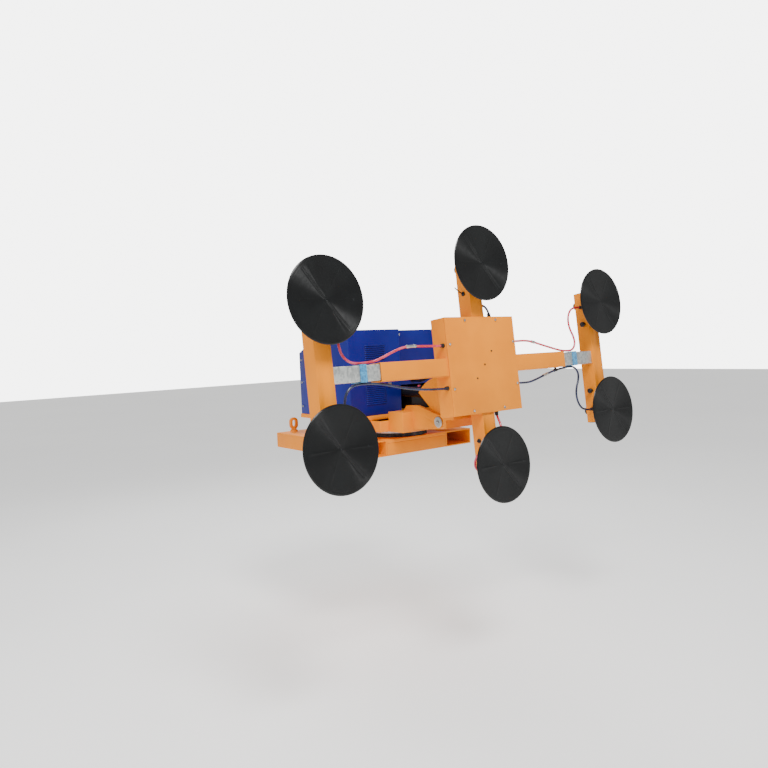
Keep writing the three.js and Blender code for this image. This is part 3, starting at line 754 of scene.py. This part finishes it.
def cup_face(x, z):
    """A round dish: its depth falls from the middle to the lip as a power of the distance out.
    Six faint ribs are a high power of the cosine of six times the angle. Two grooves are bell
    curves of the distance from a slanting line. The lip rises and falls as half a sine wave."""
    lip_start, edge_start, dish_end = 182, 197, 188
    rim = [185, 188, 191, 194, edge_start, 199, CUP_RADIUS]
    radii = np.concatenate([np.linspace(0.5, lip_start, 74), rim])
    angle = np.linspace(0, 2 * np.pi, CUP_SIDES, endpoint=False)
    r, a = np.meshgrid(radii, angle, indexing="ij")
    depth = 8.5 * (1 - (np.clip(r, 0, dish_end) / dish_end) ** 1.6) * ramp(r, 190, lip_start)
    ribs = 0.5 * np.maximum(0, np.cos(6 * a)) ** 40 * ramp(r, 30, 70) * ramp(r, 180, 160)
    slant, apart, width = math.radians(-52), 5, 3.2
    off = r * np.sin(a - slant)
    groove = np.exp(-((off - apart) / width) ** 2) + np.exp(-((off + apart) / width) ** 2)
    groove *= 1.5 * ramp(r, 6, 18) * ramp(r, 178, 168)
    dip = 1.4 - 1.4 * np.sin(np.pi * ramp(r, lip_start, CUP_RADIUS))
    lip = np.where(r > lip_start, dip, 0)
    edge = 0.9 * np.maximum(0, r - edge_start)
    y = depth - ribs + groove + lip + edge
    return np.stack([x + r * np.cos(a), y, z + r * np.sin(a)], -1).reshape(-1, 3)


def cup_pad(name, x, z):
    """The pad: its face, then the rounded outside and back, closed at both middles."""
    face = cup_face(x, z)
    back = np.array([[199.6, 5], [197, 8.5], [190, 13], [172, 17.5], [150, 22], [118, 29.6],
                     [112, 30], [0.5, 30]])
    angle = np.linspace(0, 2 * np.pi, CUP_SIDES, endpoint=False)
    r, a = np.meshgrid(back[:, 0], angle, indexing="ij")
    y = np.repeat(back[:, 1:], CUP_SIDES, 1)
    rear = np.stack([x + r * np.cos(a), y, z + r * np.sin(a)], -1).reshape(-1, 3)
    points = np.vstack([face, rear])
    faces = grid_faces(len(points) // CUP_SIDES, CUP_SIDES, round_columns=True).tolist()
    faces += [list(range(CUP_SIDES))[::-1], list(range(len(points) - CUP_SIDES, len(points)))]
    piece = put_mesh(name, [(from_head(points), faces)], "black_rubber", smooth=40)
    ring_map(piece.data, from_head([x, 0, z]))
    return piece


def ring_map(mesh, middle):
    """A UV map whose U is the angle round the cup and whose V is the distance out, in metres."""
    loops = np.zeros(len(mesh.loops), np.int32)
    mesh.loops.foreach_get("vertex_index", loops)
    places = np.zeros(len(mesh.vertices) * 3)
    mesh.vertices.foreach_get("co", places)
    away = (places.reshape(-1, 3) - middle) @ HEAD_AXES.T
    u = (np.arctan2(away[:, 2], away[:, 0]) / (2 * np.pi)) % 1
    v = np.hypot(away[:, 0], away[:, 2])
    uv = np.stack([u, v], 1)[loops]
    counts = np.zeros(len(mesh.polygons), np.int32)
    mesh.polygons.foreach_get("loop_total", counts)
    starts = np.concatenate([[0], np.cumsum(counts)[:-1]])
    top = np.repeat(np.maximum.reduceat(uv[:, 0], starts), counts)
    uv[:, 0] += (top - uv[:, 0] > 0.5)  # keeps a face that spans the seam in one piece
    layer = mesh.uv_layers.new(name="rings")
    layer.data.foreach_set("uv", uv.ravel())


def coil(middle, axis, radius, wire, low, high, turns):
    """A spring: a round wire along a helix, which turns evenly as it goes from low to high."""
    steps_each = 22
    t = np.linspace(0, 1, int(turns * steps_each))
    axis = np.asarray(axis, float)
    across = np.array([1.0, 0, 0])
    up = np.cross(axis, across)
    angle = 2 * np.pi * turns * t
    path = (np.asarray(middle) + axis * (low + (high - low) * t)[:, None] * MM
            + radius * MM * (across * np.cos(angle)[:, None] + up * np.sin(angle)[:, None]))
    return tube_surface(path, wire * MM, 8)


def cup_holder(name, x, z):
    """Plate, hub, stem and nut turned about the cup's axis, with studs in a ring on the plate."""
    profile = [[0.3, 30.3], [108, 30.3], [110, 31.5], [110, 36.5], [108.5, 38], [60, 38.4],
               [34, 41], [31, 46], [28, 48], [14.3, 48], [14.3, 185], [20, 185], [22, 187],
               [22, 196.5], [20.5, 198], [0.3, 198]]
    head = [[0.2, 38], [8.5, 38], [8.5, 43], [7.2, 44.5], [0.2, 44.5]]
    circle = 84
    parts = [turned_surface(profile, from_head([x, 0, z]), INWARD)]
    for k in range(6):
        angle = math.pi / 6 + k * math.pi / 3
        stud = from_head([x + circle * math.cos(angle), 0, z + circle * math.sin(angle)])
        parts.append(turned_surface(head, stud, INWARD, 6))
    return put_mesh(name, parts, "black_paint")


class LIFTER_OT_cups(bpy.types.Operator):
    """Makes each cup's pad, holder, port ring and return spring"""
    bl_idname = "lifter.cups"
    bl_label = "Suction cups"

    def execute(self, context):
        plug = [[0.2, 7.4], [2.6, 7.5], [3.4, 8.2], [3.4, 9.5], [0.2, 9.5]]
        ring = [[2.0, 2.2], [4.0, 2.2], [4.8, 3.0], [4.8, 6], [2.0, 6], [2.0, 2.2]]
        port_out = 146  # from the cup's middle to its port
        for word, (x, z) in CUPS.items():
            body = word + "_cup"
            pad = cup_pad(word + "_pad_moulded", x, z)
            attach(pad, body)
            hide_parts(word + "_cup_pad")
            holder = cup_holder(word + "_holder_turned", x, z)
            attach(holder, body)
            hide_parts(word + "_cup_holder")
            at, port = from_head([[x, 0, z], [x + port_out, 0, z]])
            bits = [turned_surface(plug, at, INWARD, 32), turned_surface(ring, port, INWARD, 32)]
            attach(put_mesh(word + "_port_ring", bits, "dark_steel"), body)
            carrier = word.split("_")[0]
            carrier = "rotating_head" if carrier == "centre" else carrier + "_arm"
            low, high = SPRING_ENDS
            wire = coil(at, INWARD, radius=18.5, wire=1.1, low=low, high=high, turns=3)
            spring = put_mesh(word + "_return_spring", [wire], "dark_steel", smooth=80)
            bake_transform(spring)
        return {"FINISHED"}


# Fasteners and fittings

def screw(place, axis, size, socket=True):
    """A screw's chamfered head, size millimetres in radius, with a dished socket or none."""
    profile = [[0.1, 0], [size, 0], [size, size * 0.62], [size * 0.86, size * 0.8]]
    if socket:
        profile += [[size * 0.5, size * 0.8], [size * 0.46, size * 0.3], [0.1, size * 0.28]]
    else:
        profile += [[0.1, size * 0.84]]
    return turned_surface(profile, place, axis, 24)


class LIFTER_OT_fittings(bpy.types.Operator):
    """Adds screws, hose fittings, knobs, louvres, latch and end caps"""
    bl_idname = "lifter.fittings"
    bl_label = "Fittings"

    def execute(self, context):
        margin, aside = 18, 115
        edge = context.scene.lifter_sizes.plate / 2 / MM - margin
        spots = [(s * aside, e) for s in (-1, 1) for e in (-edge, edge)]
        spots += [(e, s * aside) for s in (-1, 1) for e in (-edge, edge)]
        heads = [screw(from_head([x, PLATE_FRONT, z]), FACING, 7.0) for x, z in spots]
        piece = put_mesh("cover_plate_screws", heads, "zinc_steel")
        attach(piece, "rotating_head")
        plugs = [screw(from_head([x, PLATE_FRONT, z]), FACING, 4.5, False)
                 for x, z in [(60, 70), (0, 0), (-65, -70)]]
        piece = put_mesh("cover_plate_plugs", plugs, "black_plastic")
        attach(piece, "rotating_head")

        fitting = [[0.2, 0], [11, 0], [11, 8], [9.5, 9], [9.5, 20], [7, 22], [0.2, 22]]
        spots = [([s * BOX_HALF, 93, z], [s, 0, 0]) for s, z in
                 [(-1, 112), (-1, -107), (1, 118), (1, -113)]]
        spots += [([108, 100, BOX_HALF], [0, 0, 1]), ([85, 100, -BOX_HALF], [0, 0, -1])]
        bits = [turned_surface(fitting, from_head(p), np.array(d) @ HEAD_AXES, 24)
                for p, d in spots]
        piece = put_mesh("head_box_hose_fittings", bits, "black_plastic")
        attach(piece, "rotating_head")
        knob = [[0.2, 0], [9, 0], [9, 10], [15, 13], [16, 24], [13, 29], [0.2, 30]]
        for arm, side, heights in (("left_arm", -1, (315, -315)), ("right_arm", 1, (312, -318))):
            out = -side * HEAD_AXES[0]
            bits = [turned_surface(fitting, from_head([side * BEAM_FACE, 120, z]), out, 24)
                    for z in heights]
            bits += [turned_surface(knob, from_head([side * BEAM_FACE, 110, z]), out, 32)
                     for z in (205, -205)]
            piece = put_mesh(arm + "_beam_fittings", bits, "black_plastic")
            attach(piece, arm)
            caps = [end_cap([side * BEAM, TUBE_LINE, up * BEAM_END], up, TUBE_HALF)
                    for up in (-1, 1)]
            piece = put_mesh(arm + "_beam_end_caps", caps, "black_plastic")
            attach(piece, arm)
        caps = [end_cap([0, TUBE_LINE, up * COLUMN_END], up, TUBE_HALF) for up in (-1, 1)]
        piece = put_mesh("centre_column_end_caps", caps, "black_plastic")
        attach(piece, "rotating_head")
        self.cover_details()
        self.pins()
        self.column_levers()
        self.cylinder_gland()
        return {"FINISHED"}

    def column_levers(self):
        """The top cup's bent hand lever and a straight stub pin, each rod in a round boss."""
        lever, pin = 386, -400
        bend = smooth_path([[-44, TUBE_LINE, lever], [-58, TUBE_LINE, 390], [-74, TUBE_LINE, 397],
                            [-92, TUBE_LINE, 409], [-104, TUBE_LINE, 419]])
        stub = [[x, TUBE_LINE, pin] for x in (-44, -52, -60)]
        parts = [tube_surface(from_head(bend), 3.2 * MM, 12),
                 tube_surface(from_head(stub), 5 * MM, 16)]
        boss = [[0.2, 0], [12, 0], [12, 5], [10.5, 7], [0.2, 7]]
        parts += [turned_surface(boss, from_head([-TUBE_HALF, TUBE_LINE, z]), -HEAD_AXES[0], 24)
                  for z in (lever, pin)]
        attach(put_mesh("centre_column_levers", parts, "black_plastic"), "rotating_head")

    def cylinder_gland(self):
        """The barrel's screwed gland and its red port cap, turned about the cylinder's line."""
        at = np.array(CYLINDER_FRONT)
        gland = [[14.6, 0], [33.5, 0], [33.5, 9], [31, 11], [14.6, 11], [14.6, 0]]
        ring = turned_surface(gland, at + [0, 0.0095, 0], [0, -1, 0], 48)
        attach(put_mesh("tilt_cylinder_gland", [ring], "zinc_steel"), "carriage")
        port = at + [0, 0.045, 0.031]
        cap = [[0.2, 0], [9, 0], [9, 9], [7, 11], [0.2, 11]]
        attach(put_mesh("tilt_cylinder_port_cap", [turned_surface(cap, port, [0, 0, 1], 24)],
                         "clear_red_hose"), "carriage")

    def cover_details(self):
        """Louvres in the left cover, its latch and the covers' screws. A louvre is a quarter of
        an oval carried across, which shrinks at both ends as the root of one less a power."""
        front, pitch, middle, half = -784, 11.5, -200, 76
        columns, rows = 21, 7
        across = np.linspace(middle - half, middle + half, columns)
        x, a = np.meshgrid(across, np.linspace(0, np.pi / 2, rows), indexing="ij")
        end = np.sqrt(np.clip(1 - ((x - middle) / (half + 0.5)) ** 8, 0, 1))
        faces = grid_faces(columns, rows).tolist()
        hoods = []
        for low, high in ((511, 603), (248, 367)):
            for z in np.arange(low, high, pitch):
                points = np.stack([x, front - 5.5 * np.sin(a) * end - 0.2,
                                   z + 7.0 * np.cos(a) * end], -1)
                hoods.append((points.reshape(-1, 3) * MM, faces))
        piece = put_mesh("left_cover_louvres", hoods, "blue_paint", smooth=60)
        solid = piece.modifiers.new("sheet", "SOLIDIFY")
        solid.thickness, solid.offset = 0.0012, 0
        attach(piece, "carriage")
        latch = box_surface([-112, front - 8, 345], [-88, front, 369])
        piece = put_mesh("left_cover_latch", [latch], "zinc_steel")
        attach(piece, "carriage")
        spots = [([-390, -270, z], [-1, 0, 0]) for z in (230, 380, 520)]
        spots += [([-390, -760, z], [-1, 0, 0]) for z in (230, 450, 660)]
        spots += [([360, -744, 655], [0, -1, 0]), ([20, -744, 655], [0, -1, 0])]
        heads = [screw(np.array(p) * MM, d, 6.5) for p, d in spots]
        piece = put_mesh("cover_panel_screws", heads, "zinc_steel")
        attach(piece, "carriage")

    def pins(self):
        """The pivot pin and its round heads, each with a grease nipple, turned about its line."""
        y, z = PIVOT
        head = [[0.2, 0], [27, 0], [30, -2.5], [30, -9.5], [28.5, -10.7], [20, -10.7], [20, -131]]
        nipple = [[0.2, 0], [5, 0], [5, 3], [3, 5], [3.4, 7], [0.2, 8]]
        parts = []
        for side in (-1, 1):
            at = np.array([side * 0.131, y, z])
            # The two halves meet at the pin's middle.
            parts.append(turned_surface(head, at, [side, 0, 0], 48, open_end=True))
            parts.append(turned_surface(nipple, at, [side, 0, 0], 16))
        piece = put_mesh("tilt_pin_heads", parts, "zinc_steel")
        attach(piece, "carriage")
        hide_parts("tilt_pivot_pin")


# Add-on

class LifterSizes(bpy.types.PropertyGroup):
    hose: bpy.props.FloatProperty(
        name="Hose", description="Outside diameter of the cup hoses", default=0.012, unit="LENGTH")
    plate: bpy.props.FloatProperty(
        name="Cover plate", description="Side of the head's square cover plate", default=0.510,
        unit="LENGTH")
    lens: bpy.props.FloatProperty(
        name="Lens", description="Focal length on a 36 mm sensor, in mm", default=33.42)
    ambient: bpy.props.FloatProperty(
        name="Ambient", description="Strength of the studio's even light", default=0.6)
    backdrop: bpy.props.FloatProperty(
        name="Backdrop", description="Strength of the backdrop as the camera sees it", default=6.0)
    key: bpy.props.FloatProperty(
        name="Key", description="Strength of the lamps", default=1.0)


def paint_colour(name, description, default):
    """A colour that the user can change, from its sRGB hex value."""
    return bpy.props.FloatVectorProperty(name=name, description=description, subtype="COLOR",
                                         size=4, min=0, max=1, default=linear(default))


class LifterColours(bpy.types.PropertyGroup):
    steelwork_dark: paint_colour("Steelwork, dark", "Darker shade of the steelwork", "#E48200")
    steelwork_light: paint_colour("Steelwork, light", "Lighter shade of the steelwork", "#F08D00")
    covers_dark: paint_colour("Covers, dark", "Darker shade of the covers", "#0A1168")
    covers_light: paint_colour("Covers, light", "Lighter shade of the covers", "#101A7A")


GROUPS = {"lifter_sizes": LifterSizes, "lifter_colours": LifterColours}
OPERATORS = [LIFTER_OT_stage, LIFTER_OT_hoses, LIFTER_OT_structure, LIFTER_OT_cups,
             LIFTER_OT_fittings]


class LIFTER_PT_panel(bpy.types.Panel):
    bl_idname = "LIFTER_PT_panel"
    bl_label = "Vacuum lifter"
    bl_space_type = "VIEW_3D"
    bl_region_type = "UI"
    bl_category = "Lifter"

    def draw(self, context):
        for group, kind in GROUPS.items():
            for name in kind.__annotations__:
                self.layout.prop(getattr(context.scene, group), name)
        for operator in OPERATORS:
            self.layout.operator(operator.bl_idname)


def register():
    for item in [*GROUPS.values(), *OPERATORS, LIFTER_PT_panel]:
        bpy.utils.register_class(item)
    for name, kind in GROUPS.items():
        setattr(bpy.types.Scene, name, bpy.props.PointerProperty(type=kind))


def unregister():
    for name in GROUPS:
        delattr(bpy.types.Scene, name)
    for item in [LIFTER_PT_panel, *reversed(OPERATORS), *reversed(GROUPS.values())]:
        bpy.utils.unregister_class(item)


def main():
    register()
    MATERIALS.update(make_materials(bpy.context.scene.lifter_colours))
    for operator in OPERATORS:
        group, name = operator.bl_idname.split(".")
        getattr(getattr(bpy.ops, group), name)()


if __name__ == "__main__":
    main()
